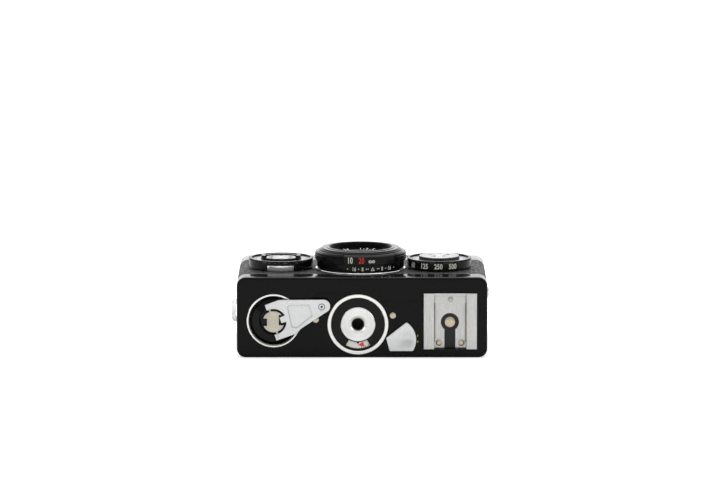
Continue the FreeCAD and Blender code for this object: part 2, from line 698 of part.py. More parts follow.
@piece
def lens_tube():
    tube = turn_y(LENS, [(13.4, 3.0), (13.4, -22.0), (14.4, -22.0), (14.4, 3.0)])
    return join(tube, tube_y(LENS, 15.0, 14.0, 3.05, 3.8),
                tube_y(LENS, 14.4, 13.4, 2.9, 3.8)).removeSplitter()


@piece
def depth_scale_ring():
    return turn_y(LENS, [(14.45, -22.0), (14.45, -19.15), (16.85, -19.15), (17.05, -19.35),
                         (17.05, -21.9), (16.95, -22.0)])


@piece
def focus_ring():
    # Ribbed grip with two smooth scale windows
    ribbed = [(14.5, -25.9), (14.5, -22.05), (17.45, -22.05), (17.6, -22.2), (17.6, -22.6)]
    steps = (0, 0.36, 0.46, 0.7)       # forward from each rib's start
    # Depth below FOCUS_R at each step, one row per rib
    ribs = ((0, 0, 0.7, 0.7), (0, 0, 0.7, 0.7), (0.05, 0.1, 0.8, 0.8), (0.25, 0.45, 0.95, 1.0))
    for k, drops in enumerate(ribs):
        rib_y = -22.75 - 0.78 * k
        ribbed += [(FOCUS_R - drop, rib_y - step) for drop, step in zip(drops, steps)]
    ribbed += [(FOCUS_R - 1.6, -25.84), (FOCUS_R - 1.7, -25.9)]
    ring = turn_y(LENS, ribbed)
    smooth = turn_y(LENS, [(14.5, -25.9), (14.5, -22.05), (SCALE_R, -22.05), (SCALE_R, -25.15),
                           (SCALE_R - 0.35, -25.5), (FOCUS_R - 1.7, -25.9)])
    windows = prism_y(sector(LENS, 14.0, 19.0, -112.0, -39.5), -27, -21).fuse(
        prism_y(sector(LENS, 14.0, 19.0, 52.0, 140.0), -27, -21))
    return ring.cut(windows).fuse(smooth.common(windows)).removeSplitter()


@piece
def front_cell():
    return turn_y(LENS, [
        (12.3, -26.8), (12.55, -27.05), (13.3, -27.05), (13.5, -26.85), (15.15, -26.85),
        (15.4, -26.7), (15.4, -26.45), (15.85, -26.35), (16.1, -26.15), (16.1, -25.97),
        (13.3, -25.97), (13.3, -14.1), (12.2, -14.1), (12.2, -22.9), (6.7, -22.9),
        (6.7, -24.0), (7.3, -24.35), (11.6, -25.0), (12.0, -25.3), (12.3, -25.3)])


def lens_glass(radius, front_y, rim_y, back_y, steps=10):
    """Element with a bulging front and a flat back."""
    sag = rim_y - front_y
    curve = (radius * radius + sag * sag) / (2 * sag)
    profile = []
    for k in range(steps + 1):
        height = radius * k / steps
        profile.append((height, front_y + curve - math.sqrt(curve * curve - height * height)))
    return turn_y(LENS, profile + [(radius, back_y), (0, back_y)])


@piece
def front_element():
    return lens_glass(6.65, -24.75, -23.6, -22.6)


@piece
def shutter_housing():
    # Two blade chambers, and the rear cell behind them
    return turn_y(LENS, [
        (6.3, -13.9), (13.35, -13.9), (13.35, -6.0), (8.6, -6.0), (8.6, -0.5), (6.6, -0.5),
        (6.6, -9.0), (6.3, -9.0), (6.3, -10.2), (12.7, -10.2), (12.7, -11.4), (6.3, -11.4),
        (6.3, -11.8), (12.7, -11.8), (12.7, -13.4), (6.3, -13.4)])


BLADE = 0.12                   # blade thickness


@piece
def iris_blades():
    blades = []
    for k in range(5):
        y = -13.3 + 0.28 * k
        blade = prism_y(sector(LENS, 5.9, 10.8, 72 * k, 72 * k + 96, 20), y, y + BLADE)
        pivot = rod_y(polar(LENS, 10.2, 72 * k + 4), 1.1, y, y + BLADE)
        blades.append(blade.fuse(pivot).removeSplitter())
    return blades


@piece
def shutter_blades():
    blades = []
    for k in range(3):
        y = -11.3 + 0.3 * k
        outline = [LENS] + arc(LENS, 9.0, 120 * k - 4, 120 * k + 124, 20)
        blades.append(prism_y(outline, y, y + BLADE))
    return blades


@piece
def rear_element():
    return lens_glass(6.5, -5.6, -4.9, -3.0)


# ---------------------------------------------------------------- dials
DIAL_R = 12.5
DIAL_BACK, DIAL_FRONT = FRONT - 0.25, FRONT - 4.1


def dial(centre):
    """Knurled dial with a recessed face, on its shaft."""
    body = rod_y(centre, DIAL_R, DIAL_FRONT + 0.75, DIAL_BACK)
    body = soften(body, 0.15, lambda edge: at_y(edge, DIAL_BACK), "makeChamfer")
    body = body.fuse(toothed_disc(centre, 96, DIAL_R, DIAL_R - 0.22, DIAL_FRONT,
                                  DIAL_FRONT + 0.76))
    body = carve(body, rod_y(centre, 11.55, DIAL_FRONT - 1, DIAL_FRONT + 0.9),
                 rod_y(centre, 7.9, DIAL_FRONT - 1, DIAL_FRONT + 1.5))
    return join(body, rod_y(centre, 2.5, DIAL_FRONT + 1.5, DIAL_BACK + 3.15),
                rod_y(centre, 4.0, DIAL_BACK + 1.65, DIAL_BACK + 2.85)).removeSplitter()


def scale_plate(centre):
    return tube_y(centre, 11.5, 7.95, DIAL_FRONT + 0.6, DIAL_FRONT + 0.9)


@piece
def aperture_dial():
    # Notched below for the lock
    return dial(APERTURE).cut(box(APERTURE_X - 5.5, APERTURE_X + 5.5, DIAL_BACK - 2.3,
                                  DIAL_BACK + 0.6, DIAL_Z - 14, DIAL_Z - 9.6))


@piece
def shutter_dial():
    return dial(SHUTTER)


@piece
def aperture_scale_plate():
    return scale_plate(APERTURE)


@piece
def shutter_scale_plate():
    return scale_plate(SHUTTER)


@piece
def film_speed_knob():
    knob = rod_y(APERTURE, 7.7, DIAL_FRONT + 0.15, DIAL_FRONT + 1.45)
    for angle in (0, 180):
        knob = knob.fuse(prism_y(sector(APERTURE, 6.2, 7.7, angle - 24, angle + 24),
                                 DIAL_FRONT - 0.95, DIAL_FRONT + 0.2))
    rim = toothed_disc(APERTURE, 60, 7.75, 7.55, DIAL_FRONT - 0.3, DIAL_FRONT + 0.2)
    knob = knob.fuse(rim.cut(rod_y(APERTURE, 6.7, -25, -20))).removeSplitter()
    return knob.cut(rod_y(APERTURE, 6.15, DIAL_FRONT - 0.4, DIAL_FRONT + 0.4))


@piece
def film_speed_plate():
    return rod_y(APERTURE, 6.1, DIAL_FRONT + 0.05, DIAL_FRONT + 0.38)


@piece
def aperture_lock():
    tab = tube_y(APERTURE, 13.1, 11.9, DIAL_BACK - 2.15, DIAL_BACK + 0.02).common(
        box(APERTURE_X - 5.1, APERTURE_X + 5.1, -30, 0, 0, DIAL_Z))
    return soften(tab.removeSplitter(), 0.25, lambda edge: edge.BoundBox.YLength > 2.0)


@piece
def film_reminder_disc():
    disc = toothed_disc(SHUTTER, 72, 7.85, 7.6, DIAL_FRONT - 0.65, DIAL_FRONT + 0.5).fuse(
        rod_y(SHUTTER, 7.5, DIAL_FRONT + 0.4, DIAL_FRONT + 1.45)).removeSplitter()
    # Radius, y from the dial's front
    cap = ((0, -0.8), (0, -0.6), (7.55, -0.6), (7.45, -0.7), (5.4, -0.85), (5.2, -0.8))
    profile = [(radius, DIAL_FRONT + y) for radius, y in cap]
    return disc.fuse(turn_y(SHUTTER, profile)).removeSplitter()


# ---------------------------------------------------------------- top controls
@piece
def release_button():
    # Dished top with a cable release bore
    top = TOP + 2.2
    button = rod_z(RELEASE, 1.5, 44.6, TOP - 2).fuse(rod_z(RELEASE, 3.8, TOP - 2.4, top))
    button = soften(button.removeSplitter(), 0.6, lambda edge: at_z(edge, top))
    return carve(button, Part.makeSphere(9.0, Vector(*RELEASE, top + 8.55)),
                 rod_z(RELEASE, 1.3, TOP - 1.9, TOP + 4))


@piece
def release_spring():
    # Faceted helix of hexagonal wire
    turns, segments = 6, 20
    wire_r, coil_r, pitch, start_z = 0.24, 2.3, 1.35, 46.68
    loops = []
    for k in range(turns * segments + 1):
        angle = 2 * math.pi * k / segments
        outward = Vector(math.cos(angle), math.sin(angle), 0)
        centre = Vector(*RELEASE, start_z + pitch * k / segments) + outward * coil_r
        loops.append([centre + outward * (wire_r * math.cos(math.pi * j / 3))
                      + Vector(0, 0, wire_r * math.sin(math.pi * j / 3)) for j in range(6)])
    faces = []
    for near, far in zip(loops, loops[1:]):
        for j in range(6):
            following = (j + 1) % 6
            faces.append(face([near[j], near[following], far[following]]))
            faces.append(face([near[j], far[following], far[j]]))
    faces += [face(loops[0]), face(loops[-1])]
    shell = Part.Shell(faces)
    if not shell.isClosed():
        shell.sewShape()
    spring = Part.Solid(shell)
    if spring.Volume < 0:
        spring = spring.reversed()
    # Wrapped in a compound so that its facets are not merged on export
    return Part.Compound([spring])


@piece
def lens_release_button():
    button = rod_z(LENS_RELEASE, 2.3, TOP - 2.0, TOP + 1.3).fuse(
        rod_z(LENS_RELEASE, 1.2, 44.9, TOP - 1.5)).removeSplitter()
    return soften(button, 0.3, lambda edge: at_z(edge, TOP + 1.3))


@piece
def rewind_lever():
    x, y = SELECTOR
    base, top = TOP + 0.1, TOP + 1.1
    arm = prism_z([(x, y - 2.5), (x + 7.2, y - 1.0), (x + 7.2, y + 1.0), (x, y + 2.5)], base, top)
    lever = join(rod_z(SELECTOR, 2.6, base, top), arm, rod_z((x + 7.0, y), 1.1, base, TOP + 1.9),
                 rod_z(SELECTOR, 1.25, TOP - 1.6, TOP + 0.5)).removeSplitter()
    return soften(lever, 0.2, lambda edge: at_z(edge, top) and edge.Length > 2)


# ---------------------------------------------------------------- finder and meter
@piece
def finder_glass():
    return [pane(FINDER_WINDOW, GLASS_GAP, FRONT + 0.25, FRONT + 1.05),
            pane(EYEPIECE, 0.62, 11.3, 12.6)]


@piece
def finder_housing():
    # Tunnel behind the front window, and the eyepiece frame
    x0, x1, z0, z1 = FINDER_WINDOW
    tunnel = carve(box(x0 + 0.3, x1 - 0.3, FRONT + 1.15, 11.0, z0, z1 + 0.6),
                   box(x0 + 1.0, x1 - 1.0, FRONT, 10.2, z0 + 0.7, z1 - 0.1),
                   pane(EYEPIECE, 1.0, 9, 12))
    frame = pane(EYEPIECE, -0.9, 12.0, 12.95)
    frame = soften(frame, 0.25, lambda edge: edge.BoundBox.YLength > 0.8)
    frame = frame.fuse(pane(EYEPIECE, GLASS_GAP, 11.0, 12.5)).removeSplitter()
    frame = carve(frame, pane(EYEPIECE, 0.6, 10, 12.65), pane(EYEPIECE, 1.1, 10, 15))
    return [tunnel, frame]


@piece
def meter_glass():
    x0, x1, y0, y1 = NEEDLE_WINDOW
    return [pane(METER_WINDOW, GLASS_GAP, FRONT + 0.3, FRONT + 1.6),
            box(x0 + GLASS_GAP, x1 - GLASS_GAP, y0 + GLASS_GAP, y1 - GLASS_GAP,
                TOP - 1.0, TOP - 0.15)]


@piece
def galvanometer():
    return join(rod_z(METER, 6.2, 47.0, 56.2), box(METER_X - 2, -3.0, -3.5, 3.0, 56.2, 56.7),
                rod_z(METER, 0.5, 56.0, 57.0)).removeSplitter()


@piece
def meter_needle():
    pointer = box(METER_X + 1.2, -8.0, METER_Y - 0.18, METER_Y + 0.18, 56.95, 57.2)
    return tube_z(METER, 1.4, 0.55, 56.9, 57.3).fuse(pointer).removeSplitter()


# ---------------------------------------------------------------- side fittings
@piece
def strap_lug():
    def outer_upright(edge):
        bounds = edge.BoundBox
        return bounds.XLength < 0.01 and bounds.ZLength > 3 and bounds.XMax < LEFT - 2

    lug = soften(box(LEFT - 3.4, LEFT, -2.0, 7.2, 51.2, 55.8), 1.7, outer_upright)
    return lug.cut(box(LEFT - 1.7, LEFT + 0.5, 0.1, 5.1, 50, 57))


@piece
def sync_socket():
    end = RIGHT + 1.9
    body = rod_x(SYNC, 2.6, RIGHT, end).fuse(rod_x(SYNC, 1.95, RIGHT - 2.5, end))
    body = body.cut(rod_x(SYNC, 1.5, RIGHT - 1.6, RIGHT + 3))
    return body.fuse(rod_x(SYNC, 0.45, RIGHT - 2.0, RIGHT + 1.4)).removeSplitter()


# ---------------------------------------------------------------- write the parts
os.makedirs("parts", exist_ok=True)
for make in PIECES:
    made = make()
    solids = []
    for shape in made if isinstance(made, list) else [made]:
        if shape.ShapeType != "Compound":
            shape = shape.removeSplitter()
        solids += shape.Solids
    result = solids[0] if len(solids) == 1 else Part.Compound(solids)
    result.exportStep("parts/%s.step" % make.__name__)
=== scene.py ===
# A film camera lying on its back on a pale table. The lens points along -Y and the bottom
# plate faces -Z, towards the viewer. The CAD pieces get materials, inlaid marks and threads.
# Dimensions are in mm unless a comment says metres.
import bpy
import bmesh
import math
import random
from collections import namedtuple
from mathutils import Vector, Matrix


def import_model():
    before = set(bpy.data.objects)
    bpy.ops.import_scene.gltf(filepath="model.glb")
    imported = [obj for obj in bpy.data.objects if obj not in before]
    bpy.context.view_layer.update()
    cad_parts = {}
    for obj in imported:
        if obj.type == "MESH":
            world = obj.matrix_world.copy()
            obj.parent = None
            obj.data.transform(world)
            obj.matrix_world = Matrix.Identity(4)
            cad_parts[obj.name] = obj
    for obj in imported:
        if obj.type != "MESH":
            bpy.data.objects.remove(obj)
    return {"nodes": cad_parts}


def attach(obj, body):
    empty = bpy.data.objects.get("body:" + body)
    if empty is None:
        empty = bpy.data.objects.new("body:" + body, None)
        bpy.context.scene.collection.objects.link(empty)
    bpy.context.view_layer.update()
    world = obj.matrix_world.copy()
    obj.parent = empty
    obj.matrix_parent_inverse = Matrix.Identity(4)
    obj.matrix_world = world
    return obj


random.seed(7)
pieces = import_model()["nodes"]
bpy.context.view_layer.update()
MM = 0.001

# An axis runs along "Y" or "Z"; first and second are its two other coordinates, in XYZ order.
Axis = namedtuple("Axis", "along first second")
DIAL_Z = 26.5
LENS = Axis("Y", 1.0, 24.5)
APERTURE = Axis("Y", -30.1, DIAL_Z)
SHUTTER = Axis("Y", 31.8, DIAL_Z)
CRANK = Axis("Z", -32.6, -1.45)
CENTRE = Axis("Z", 0, 0)            # frame counter and tripod socket


# ------------------------------------------------------------------ node graphs
class Graph:
    """A material's or world's node tree, built from empty."""

    def __init__(self, owner, output_kind):
        owner.use_nodes = True
        self.tree = owner.node_tree
        self.tree.nodes.clear()
        self.output = self.node(output_kind)

    def feed(self, socket, value):
        """Links a socket to another one, or gives it a plain value."""
        if isinstance(value, bpy.types.NodeSocket):
            self.tree.links.new(value, socket)
        else:
            socket.default_value = value

    def node(self, kind, inputs=None, **properties):
        node = self.tree.nodes.new(kind)
        for key, value in properties.items():
            setattr(node, key, value)
        for key, value in (inputs or {}).items():
            self.feed(node.inputs[key], value)
        return node

    def math(self, operation, first, second=None, clamp=False):
        inputs = {0: first}
        if second is not None:
            inputs[1] = second
        node = self.node("ShaderNodeMath", inputs, operation=operation, use_clamp=clamp)
        return node.outputs[0]

    def ramp(self, value, from_min, from_max, to_min=0.0, to_max=1.0):
        return self.node("ShaderNodeMapRange", {
            "Value": value, "From Min": from_min, "From Max": from_max,
            "To Min": to_min, "To Max": to_max}).outputs[0]


def shade(colour, factor):
    return tuple(channel * factor for channel in colour)


class Surface(Graph):
    """A Principled material in object coordinates in mm, built up layer by layer."""

    def __init__(self, name, base):
        self.material = bpy.data.materials.new(name)
        super().__init__(self.material, "ShaderNodeOutputMaterial")
        coordinates = self.node("ShaderNodeTexCoord").outputs["Object"]
        self.mm = self.mapped(coordinates, (1000, 1000, 1000))
        self.bsdf = self.node("ShaderNodeBsdfPrincipled")
        self.feed(self.output.inputs["Surface"], self.bsdf.outputs[0])
        self.base = base
        self.colour = self.roughness = self.normal = None

    def mapped(self, vector, scale, rotation=(0, 0, 0)):
        return self.node("ShaderNodeMapping", {
            "Vector": vector, "Scale": scale, "Rotation": rotation}).outputs["Vector"]

    def noise(self, scale, detail=3.0, vector=None, rough=0.55):
        return self.node("ShaderNodeTexNoise", {
            "Scale": scale, "Detail": detail, "Roughness": rough,
            "Vector": vector or self.mm}).outputs["Fac"]

    def mix(self, factor, first, second):
        """Blends two colours, each a socket or a plain (r, g, b)."""
        first, second = ((*c, 1) if isinstance(c, tuple) else c for c in (first, second))
        inputs = {0: factor, 6: first, 7: second}
        return self.node("ShaderNodeMix", inputs, data_type="RGBA").outputs[2]

    def mix_value(self, factor, first, second):
        inputs = {0: factor, 2: first, 3: second}
        return self.node("ShaderNodeMix", inputs, data_type="FLOAT").outputs[0]

    def bevel(self, radius):
        inputs = {"Radius": radius * MM}
        return self.node("ShaderNodeBevel", inputs, samples=4).outputs[0]

    def bump(self, height, strength, distance):
        inputs = {"Strength": strength, "Distance": distance * MM, "Height": height}
        if self.normal is not None:
            inputs["Normal"] = self.normal
        self.normal = self.node("ShaderNodeBump", inputs).outputs["Normal"]

    def mottle(self, rough, speck, smudge):
        """Two close tones, and soft wiping marks in the roughness."""
        smear = self.noise(0.07, 4.0)
        spots = self.noise(1.3, 4.0)
        light = tuple(min(1.0, c * (1 + speck) + 0.0008) for c in self.base)
        self.colour = self.mix(self.ramp(spots, 0.3, 0.7), shade(self.base, 1 - speck), light)
        self.roughness = self.ramp(
            smear, 0.3, 0.7, rough * (1 - smudge), min(1.0, rough * (1 + smudge)))

    def groove(self, vector, streak, detail, bump, depth, rough_swing, tint, dark):
        """Fine lines from stretched noise, in relief, roughness and colour."""
        lines = self.noise(1.0, detail, vector, rough=0.7)
        self.bump(lines, streak * bump, depth)
        self.roughness = self.mix_value(
            self.ramp(lines, 0.35, 0.65),
            self.math("MULTIPLY", self.roughness, 1 - rough_swing * streak),
            self.math("MULTIPLY", self.roughness, 1 + rough_swing * streak))
        amount = self.ramp(lines, 0.3, 0.7, 0, tint * streak)
        self.colour = self.mix(amount, self.colour, shade(self.base, dark))

    def brush(self, scale, angle, streak):
        self.groove(self.mapped(self.mm, scale, (0, 0, angle)), streak, detail=2.0, bump=0.1,
                    depth=0.01, rough_swing=0.35, tint=0.5, dark=0.75)

    def turn(self, axis, rings, streak):
        """Lathe lines: noise over (distance from the axis, place along it)."""
        xyz = self.node("ShaderNodeSeparateXYZ", {0: self.mm}).outputs
        across = [xyz[i] for i in range(3) if "XYZ"[i] != axis.along]
        first = self.math("SUBTRACT", across[0], axis.first)
        second = self.math("SUBTRACT", across[1], axis.second)
        square_sum = self.math("ADD", self.math("MULTIPLY", first, first),
                               self.math("MULTIPLY", second, second))
        radius = self.math("SQRT", square_sum)
        along = xyz["XYZ".index(axis.along)]
        polar = self.node("ShaderNodeCombineXYZ", {0: radius, 1: along}).outputs[0]
        self.groove(self.mapped(polar, (rings, 0.6, 1)), streak, detail=3.0, bump=0.14,
                    depth=0.012, rough_swing=0.3, tint=0.4, dark=0.8)

    def darken_corners(self, amount):
        # Painted shade: the colour darkens where ambient occlusion finds nearby surfaces, in
        # corners and crevices.
        inputs = {"Distance": 1.0 * MM}
        occlusion = self.node("ShaderNodeAmbientOcclusion", inputs, samples=6).outputs["AO"]
        scale = self.ramp(occlusion, 0.25, 0.95, 1 - amount, 1.0)
        inputs = {0: self.colour, "Scale": scale}
        self.colour = self.node("ShaderNodeVectorMath", inputs, operation="SCALE").outputs[0]

    def add_cells(self, scale):
        """A regular grid of small raised lenses."""
        cells = self.node("ShaderNodeTexVoronoi", {
            "Scale": scale, "Randomness": 0.0, "Vector": self.mm}, feature="DISTANCE_TO_EDGE")
        lens = self.ramp(cells.outputs["Distance"], 0.0, 0.4)
        self.bump(lens, 0.8, 0.25)
        self.colour = self.mix(lens, shade(self.base, 0.3), self.colour)

    def add_pebbles(self):
        """Leather grain: rounded pebbles with wavering outlines."""
        waver = self.node("ShaderNodeTexNoise", {"Scale": 0.6, "Vector": self.mm})
        inputs = {0: waver.outputs["Color"], "Scale": 0.55}
        shift = self.node("ShaderNodeVectorMath", inputs, operation="SCALE").outputs[0]
        inputs = {0: self.mm, 1: shift}
        place = self.node("ShaderNodeVectorMath", inputs, operation="ADD").outputs[0]
        cells = self.node("ShaderNodeTexVoronoi", {}, feature="SMOOTH_F1")
        for key, value in (("Scale", 0.72), ("Smoothness", 0.35), ("Vector", place)):
            self.feed(cells.inputs[key], value)
        pebble = self.ramp(cells.outputs["Distance"], 0.05, 0.62, 1.0, 0.0)
        self.bump(pebble, 1.0, 0.6)
        self.bump(self.noise(7.0, 4.0), 0.3, 0.03)
        self.roughness = self.mix_value(pebble, 0.75, self.roughness)
        self.colour = self.mix(pebble, shade(self.base, 0.45), self.colour)

    def wear_edges(self, wear_and_glint, worn_colour, metallic):
        """Bares metal in broken patches where the rounded normal leaves the flat one; the light
        worn colour there also paints glints on the edges.
        """
        flat = self.node("ShaderNodeNewGeometry").outputs["Normal"]
        inputs = {0: self.bevel(0.3), 1: flat}
        agreement = self.node("ShaderNodeVectorMath", inputs, operation="DOT_PRODUCT")
        edge = self.ramp(agreement.outputs["Value"], 0.97, 0.86)
        patches = self.ramp(self.noise(0.9, 5.0), 0.5, 0.64)
        worn_and_glint = self.math("MULTIPLY", self.math("MULTIPLY", edge, patches), wear_and_glint, clamp=True)
        self.colour = self.mix(worn_and_glint, self.colour, worn_colour)
        return self.mix_value(worn_and_glint, metallic, 1.0)


def finish(name, base, rough, metallic=0.0, spec=0.5, coat=0.0, coat_rough=0.05, bevel=0.12,
           speck=0.15, smudge=0.12, grain=0.04, grain_scale=6.0, grain_depth=0.01,
           brushed=None, brush_angle=0.0, turned=None, rings=5.0, streak=0.5, aniso=0.0,
           corners=0.55, cells=0.0, leather=False, wear_and_glint=0.0, worn_colour=(0.5, 0.42, 0.3),
           glow=None, glow_strength=0.0):
    """A material. Speck and smudge vary its colour and roughness, grain is its fine relief.

    Brushed is a noise scale per axis; turned is an Axis, with rings the noise scale across it.
    Streak is how strongly either shows. Corners is the strength of painted shade in crevices.
    Bevel is a radius in mm.
    """
    surface = Surface(name, base)
    surface.mottle(rough, speck, smudge)
    if bevel:
        surface.normal = surface.bevel(bevel)
    surface.bump(surface.noise(grain_scale), grain, grain_depth)
    if brushed:
        surface.brush(brushed, brush_angle, streak)
    if turned:
        surface.turn(turned, rings, streak)
    # Painted shade in corners and crevices.
    if corners:
        surface.darken_corners(corners)
    if cells:
        surface.add_cells(cells)
    if leather:
        surface.add_pebbles()
    if wear_and_glint:
        metallic = surface.wear_edges(wear_and_glint, worn_colour, metallic)
    inputs = {
        "Metallic": metallic, "Base Color": surface.colour, "Roughness": surface.roughness,
        "Normal": surface.normal, "Specular IOR Level": spec, "IOR": 1.5,
        "Coat Weight": coat, "Coat Roughness": coat_rough, "Anisotropic": aniso}
    if aniso:
        tangent = surface.node(
            "ShaderNodeTangent", direction_type="RADIAL", axis=turned.along)
        inputs["Tangent"] = tangent.outputs[0]
    # Painted light: an emission that makes the part glow though it is no lamp.
    if glow:
        inputs["Emission Color"] = (*glow, 1)
        inputs["Emission Strength"] = glow_strength
    for key, value in inputs.items():
        surface.feed(surface.bsdf.inputs[key], value)
    return surface.material


def metal(name, base, rough, **settings):
    return finish(name, base, rough, metallic=1.0, **settings)


def ink(name, base, **settings):
    return finish(name, base, rough=0.5, bevel=0, **settings)


def grey(value):
    return (value, value, value)


# ------------------------------------------------------------------ materials
enamel = finish("black_enamel", (0.005, 0.005, 0.0048), rough=0.10, spec=0.11, wear_and_glint=0.12,
                grain=0.03, grain_scale=3.0, bevel=0.3)
gloss = finish("gloss_black_enamel", grey(0.005), rough=0.10, spec=0.16, wear_and_glint=0.12,
               grain=0.02, bevel=0.3)
well = finish("deep_gloss_black", (0.005, 0.005, 0.006), rough=0.09, spec=0.14, coat=0.05,
              grain=0.02, turned=CRANK, streak=0.2)
leather = finish("pebbled_leatherette", grey(0.018), rough=0.3, spec=0.6, leather=True,
                 bevel=0.0)
casting = finish("painted_casting", (0.014, 0.014, 0.015), rough=0.6, spec=0.35, grain=0.3,
                 grain_scale=3.0, grain_depth=0.03)
plastic = finish("moulded_black_plastic", grey(0.012), rough=0.5, spec=0.4, grain=0.2,
                 grain_scale=4.0, grain_depth=0.02)
black_lens = finish("black_anodised_lens", (0.004, 0.004, 0.0045), rough=0.15, spec=0.13,
                    turned=LENS, streak=0.06, grain=0.01, speck=0.08)
# Dial black: edges worn to bare metal, with a light worn colour that also paints glints on the
# knurled edges.
DIAL_BLACK = dict(base=grey(0.0045), rough=0.2, spec=0.14, streak=0.06, grain=0.01,
                  wear_and_glint=0.55, worn_colour=(0.5, 0.49, 0.46))
black_aperture = finish("black_anodised_dial_a", turned=APERTURE, **DIAL_BLACK)
black_shutter = finish("black_anodised_dial_s", turned=SHUTTER, **DIAL_BLACK)
DIAL_SILVER = dict(rough=0.26, rings=3.5, streak=0.6, speck=0.05, grain=0.02, aniso=0.85)
silver_aperture = metal("silver_scale_a", (0.36, 0.36, 0.37), turned=APERTURE, **DIAL_SILVER)
silver_shutter = metal("silver_scale_s", (0.38, 0.38, 0.39), turned=SHUTTER, **DIAL_SILVER)
satin = metal("satin_chrome", (0.70, 0.71, 0.71), rough=0.36, brushed=(0.2, 3.2, 3.2),
              brush_angle=0.3, streak=0.3, speck=0.04, grain_scale=5.0, bevel=0.25)
spindle = metal("nickel_spindle", (0.56, 0.52, 0.44), rough=0.36, turned=CRANK, rings=2.5,
                speck=0.05, grain=0.03, aniso=0.6, bevel=0.2)
chrome = metal("bright_chrome", (0.82, 0.82, 0.81), rough=0.10, grain=0.03, smudge=0.5)
RING = dict(rings=4.0, streak=0.25, speck=0.03, grain=0.02)
counter_metal = metal("counter_ring_metal", (0.90, 0.89, 0.86), rough=0.3, turned=CENTRE,
                      aniso=0.5, bevel=0.15, **RING)
crank_metal = metal("crank_ring_metal", (0.84, 0.83, 0.81), rough=0.2, turned=CRANK,
                    bevel=0.1, **RING)
socket = metal("spun_socket", (0.76, 0.76, 0.75), rough=0.22, turned=CENTRE, rings=1.6,
               streak=0.9, speck=0.03, grain=0.02, aniso=0.8)
shoe = metal("shoe_brushed_steel", (0.56, 0.56, 0.55), rough=0.3, brushed=(2.6, 0.1, 1.5),
             speck=0.04, grain=0.03, bevel=0.25)
brass = metal("worn_brass", (0.56, 0.50, 0.36), rough=0.34, grain=0.06, speck=0.16)
steel = metal("spring_steel", (0.30, 0.25, 0.19), rough=0.36, brushed=(0.4, 5.0, 5.0))
# Painted light: the counter disc glows faintly, which brightens it in its recess.
cream = ink("counter_cream", (0.86, 0.84, 0.77), speck=0.04, corners=0.0,
            glow=(0.86, 0.85, 0.77), glow_strength=0.26)
ink_cream = ink("ink_cream", (0.80, 0.77, 0.68), speck=0.05, corners=0.0)
ink_red = ink("ink_red", (0.62, 0.03, 0.025), speck=0.05, corners=0.0)
# Painted light: the red counter arrow glows faintly.
ink_red_counter = ink("ink_red_counter", (0.75, 0.05, 0.045), speck=0.05, corners=0.0,
                      glow=(0.75, 0.05, 0.045), glow_strength=0.3)
ink_black = ink("ink_black", grey(0.01), speck=0.1)
ink_yellow = ink("ink_yellow", (0.62, 0.45, 0.10), speck=0.1)
glass = finish("coated_glass", (0.012, 0.012, 0.03), rough=0.02, spec=0.8, coat=0.8,
               coat_rough=0.02, bevel=0, grain=0.0, speck=0.3, smudge=0.3)
window = finish("window_glass", (0.018, 0.021, 0.03), rough=0.04, bevel=0, grain=0.02,
                grain_scale=0.4, speck=0.4)
meter_window = finish("meter_cell_window", (0.05, 0.056, 0.06), rough=0.1, spec=0.9, bevel=0,
                      grain=0.01, cells=1.6)
tube = metal("satin_tube", (0.66, 0.66, 0.65), rough=0.28, turned=LENS, rings=3.0,
             streak=0.3, grain=0.08)

LOOKS = (
    (enamel, "bottom_cover back_cover"),
    (gloss, "top_cover pressure_plate counter_window_plate"),
    (well, "crank_well crank_turntable"),
    (leather, "leatherette_front leatherette_back"),
    (casting, "front_panel body_frame"),
    (plastic, "take_up_spool contact_insulator finder_housing galvanometer"),
    (black_lens, "lens_guide depth_scale_ring focus_ring front_cell shutter_housing"),
    (black_aperture, "aperture_dial film_speed_knob"),
    (black_shutter, "shutter_dial"),
    (silver_aperture, "aperture_scale_plate film_speed_plate"),
    (silver_shutter, "shutter_scale_plate film_reminder_disc"),
    (satin, "sprocket advance_gear advance_lever rewind_crank crank_knob back_lock_lever"),
    (spindle, "rewind_spindle"),
    (chrome, "top_cover_screws lens_mount_ring aperture_lock release_button"
             " lens_release_button rewind_lever strap_lug sync_socket"),
    (counter_metal, "counter_ring"),
    (crank_metal, "crank_ring"),
    (socket, "tripod_socket"),
    (shoe, "accessory_shoe"),
    (brass, "hot_shoe_contact brass_rivets tube_key_ring"),
    (steel, "shoe_springs iris_blades shutter_blades release_spring"),
    (cream, "counter_disc"),
    (ink_yellow, "meter_needle"),
    (glass, "front_element rear_element"),
    (window, "finder_glass"),
    (meter_window, "meter_glass"),
    (tube, "lens_tube"),
)
look_of = {piece: material for material, names in LOOKS for piece in names.split()}

for name, piece in pieces.items():
    mesh = piece.data
    mesh.materials.clear()
    mesh.materials.append(look_of[name])
    mesh.polygons.foreach_set("use_smooth", [True] * len(mesh.polygons))
    weld = piece.modifiers.new("weld", "WELD")
    weld.merge_threshold = 1e-6
    split = piece.modifiers.new("split", "EDGE_SPLIT")
    split.split_angle = math.radians(28)


